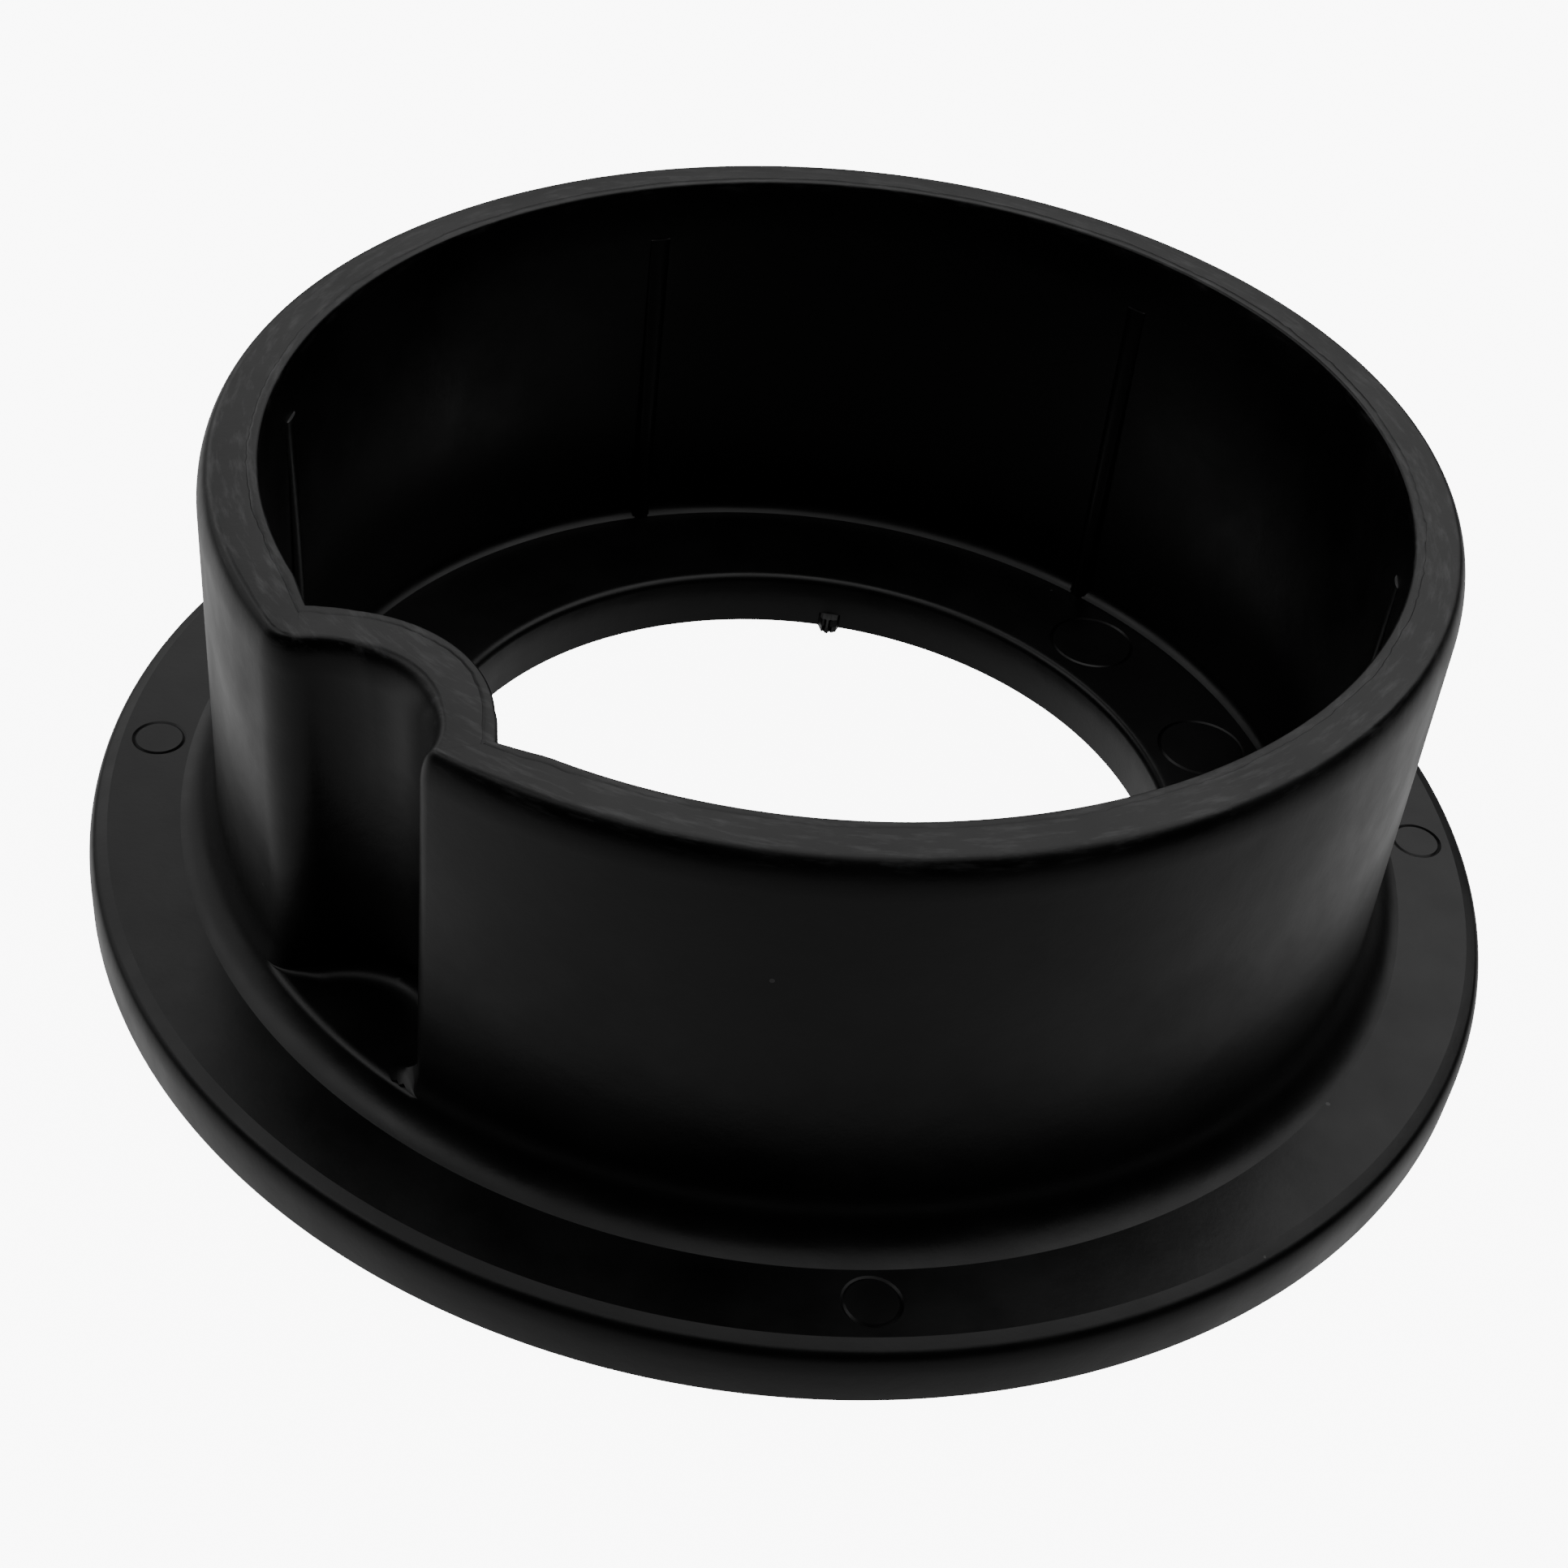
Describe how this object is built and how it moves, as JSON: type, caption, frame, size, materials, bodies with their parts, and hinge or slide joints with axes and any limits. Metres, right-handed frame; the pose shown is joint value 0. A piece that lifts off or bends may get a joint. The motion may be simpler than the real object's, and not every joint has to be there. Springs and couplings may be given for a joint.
{
  "type": "flanged collar",
  "caption": "Soft rubber collar: a tall ring wall standing on a round flange, with an open floor and an upright channel for a pipe pushed into the side of the wall.",
  "frame": {"origin": "on the ring's axis, at the flat underside of the flange", "axes": "+Z along the ring's axis, from the flange up to the rim; the channel's mouth faces 232 degrees, counted from +X towards +Y"},
  "size_m": [0.114, 0.114, 0.0388],
  "materials": {
    "rubber": "satin moulded rubber, near black"
  },
  "bodies": {
    "root": {"collar": "rubber"}
  },
  "joints": []
}
